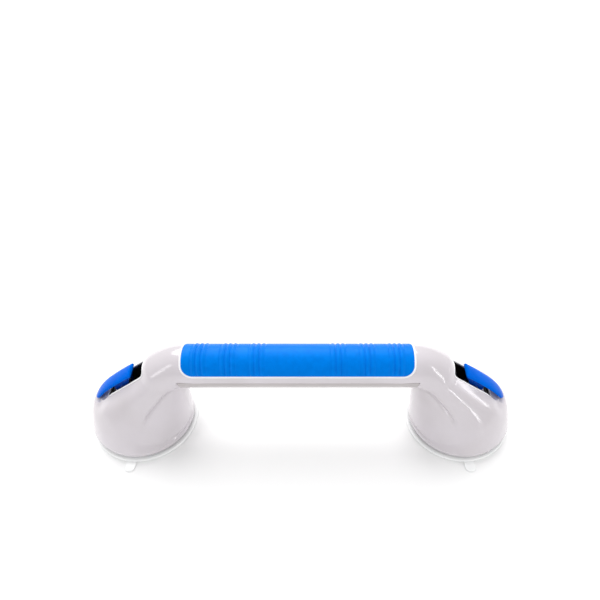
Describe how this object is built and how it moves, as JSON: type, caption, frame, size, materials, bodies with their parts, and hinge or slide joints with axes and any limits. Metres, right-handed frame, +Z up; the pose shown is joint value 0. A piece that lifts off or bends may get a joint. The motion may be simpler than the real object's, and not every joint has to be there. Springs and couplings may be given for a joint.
{
  "type": "suction grab bar",
  "caption": "Grab bar with a round cushioned handle on two domed suction stations, each locked by a cam lever that pulls its rubber cup tight.",
  "frame": {"origin": "middle of the footprint, on the surface that the cups stand on", "axes": "+X along the handle, +Z up away from the surface the cups stand on"},
  "size_m": [0.419, 0.1254, 0.1019],
  "materials": {
    "white_abs": "glossy moulded ABS",
    "blue_tpr": "satin soft-touch rubber with fine ribs",
    "blue_abs": "glossy moulded ABS",
    "black_abs": "satin moulded ABS",
    "cup_rubber": "smooth pale translucent rubber",
    "steel": "bright zinc-plated steel",
    "zinc_screw": "zinc-plated steel"
  },
  "bodies": {
    "housing": {"upper_shell": "white_abs", "lower_shell": "white_abs", "grip_pad": "blue_tpr", "handle_screws": "zinc_screw", "left_suction_cup": "cup_rubber", "left_cam_plate": "steel", "left_lever_well": "black_abs", "left_base_plate": "white_abs", "left_base_screws": "zinc_screw", "left_release_spring": "steel", "right_suction_cup": "cup_rubber", "right_cam_plate": "steel", "right_lever_well": "black_abs", "right_base_plate": "white_abs", "right_base_screws": "zinc_screw", "right_release_spring": "steel"},
    "left_stem_body": {"left_stem": "steel", "left_stud_disc": "steel", "left_spring_collar": "steel", "left_pivot_pin": "steel"},
    "left_lever_body": {"left_lever": "blue_abs"},
    "right_stem_body": {"right_stem": "steel", "right_stud_disc": "steel", "right_spring_collar": "steel", "right_pivot_pin": "steel"},
    "right_lever_body": {"right_lever": "blue_abs"}
  },
  "joints": [
    {"name": "left_stem_lift", "type": "slide", "parent": "housing", "child": "left_stem_body", "axis": [0, 0, 1], "range_m": [-0.003, 0], "deforming": ["left_suction_cup", "left_release_spring"]},
    {"name": "left_lever_flip", "type": "hinge", "parent": "left_stem_body", "child": "left_lever_body", "pos_m": [-0.158, 0, 0.062], "axis": [0, 1, 0], "range_deg": [0, 75]},
    {"name": "right_stem_lift", "type": "slide", "parent": "housing", "child": "right_stem_body", "axis": [0, 0, 1], "range_m": [-0.003, 0], "deforming": ["right_suction_cup", "right_release_spring"]},
    {"name": "right_lever_flip", "type": "hinge", "parent": "right_stem_body", "child": "right_lever_body", "pos_m": [0.158, 0, 0.062], "axis": [0, -1, 0], "range_deg": [0, 75]}
  ],
  "couplings": [
    {"joint": "left_lever_flip", "follows": "left_stem_lift", "rad_per_m": -436.33},
    {"joint": "right_lever_flip", "follows": "right_stem_lift", "rad_per_m": -436.33}
  ]
}
